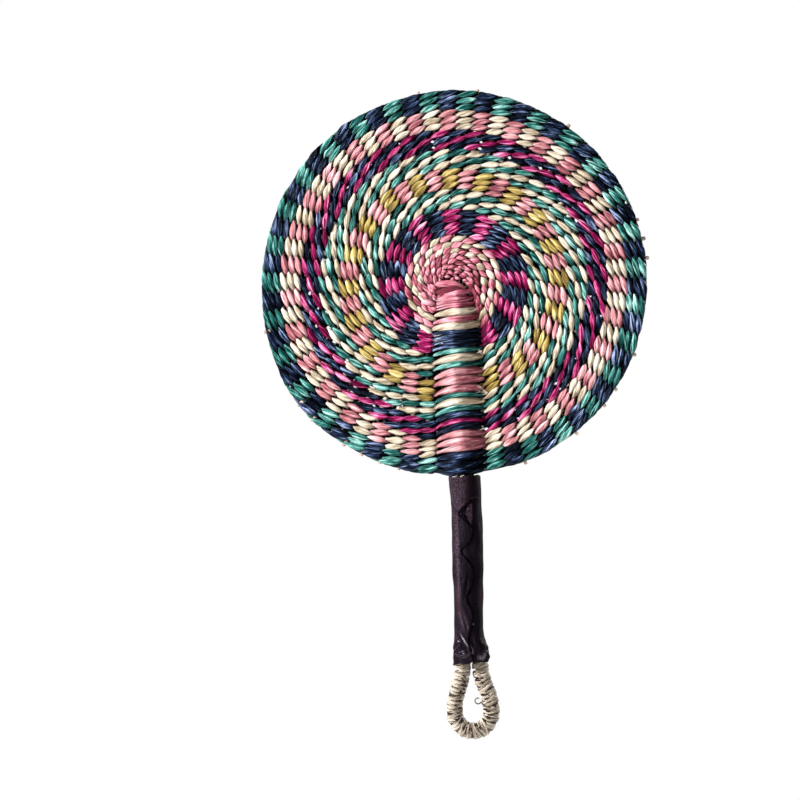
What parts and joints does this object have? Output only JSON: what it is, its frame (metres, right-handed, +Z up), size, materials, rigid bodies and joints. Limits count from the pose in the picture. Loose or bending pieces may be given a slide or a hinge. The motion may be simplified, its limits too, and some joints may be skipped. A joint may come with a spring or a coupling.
{
  "type": "woven hand fan",
  "caption": "Round woven straw hand fan hung on a wall, with coloured rings, a raised spine, a leather grip and a straw-wound hanging loop.",
  "frame": {"origin": "on the wall side, at the flat land of the raised spine that lies behind the fourth ring of the weave, on the fan's middle line", "axes": "+Z up the fan's middle line from the hanging loop to the disc, +Y out of the back towards the wall, the front facing -Y"},
  "size_m": [0.2614, 0.0236, 0.4368],
  "materials": {
    "pink_straw": "dyed straw, satin",
    "cream_straw": "natural straw, satin",
    "navy_straw": "dyed straw, satin",
    "magenta_straw": "dyed straw, satin",
    "teal_straw": "dyed straw, satin",
    "yellow_straw": "dyed straw, satin",
    "natural_straw": "natural grass stakes",
    "stalk_bundle": "natural grass stalks",
    "stick_wood": "plain wood",
    "dark_leather": "dark brown leather, half shiny",
    "loop_straw": "natural straw strip, satin"
  },
  "bodies": {
    "root": {"base_stakes": "natural_straw", "inserted_stake_01": "natural_straw", "inserted_stake_02": "natural_straw", "inserted_stake_03": "natural_straw", "inserted_stake_04": "natural_straw", "inserted_stake_05": "natural_straw", "inserted_stake_06": "natural_straw", "inserted_stake_07": "natural_straw", "inserted_stake_08": "natural_straw", "inserted_stake_09": "natural_straw", "inserted_stake_10": "natural_straw", "inserted_stake_11": "natural_straw", "inserted_stake_12": "natural_straw", "inserted_stake_13": "natural_straw", "inserted_stake_14": "natural_straw", "inserted_stake_15": "natural_straw", "inserted_stake_16": "natural_straw", "inserted_stake_17": "natural_straw", "inserted_stake_18": "natural_straw", "inserted_stake_19": "natural_straw", "inserted_stake_20": "natural_straw", "inserted_stake_21": "natural_straw", "inserted_stake_22": "natural_straw", "inserted_stake_23": "natural_straw", "inserted_stake_24": "natural_straw", "inserted_stake_25": "natural_straw", "inserted_stake_26": "natural_straw", "inserted_stake_27": "natural_straw", "inserted_stake_28": "natural_straw", "inserted_stake_29": "natural_straw", "inserted_stake_30": "natural_straw", "inserted_stake_31": "natural_straw", "inserted_stake_32": "natural_straw", "inserted_stake_33": "natural_straw", "inserted_stake_34": "natural_straw", "inserted_stake_35": "natural_straw", "inserted_stake_36": "natural_straw", "inserted_stake_37": "natural_straw", "inserted_stake_38": "natural_straw", "centre_pink_strand": "pink_straw", "ring_2_cream_strand": "cream_straw", "ring_3_navy_strand": "navy_straw", "ring_3_magenta_strand": "magenta_straw", "ring_4_teal_strand": "teal_straw", "ring_4_cream_strand": "cream_straw", "ring_5_pink_strand": "pink_straw", "ring_5_yellow_strand": "yellow_straw", "ring_6_teal_strand": "teal_straw", "ring_6_cream_strand": "cream_straw", "ring_7_navy_strand": "navy_straw", "ring_7_magenta_strand": "magenta_straw", "ring_8_pink_strand": "pink_straw", "ring_8_cream_strand": "cream_straw", "ring_9_navy_strand": "navy_straw", "ring_9_teal_strand": "teal_straw", "spine_stalks": "stalk_bundle", "handle_stick": "stick_wood", "leather_grip": "dark_leather", "hanging_loop_core": "stalk_bundle", "hanging_loop_winding": "loop_straw"}
  },
  "joints": []
}
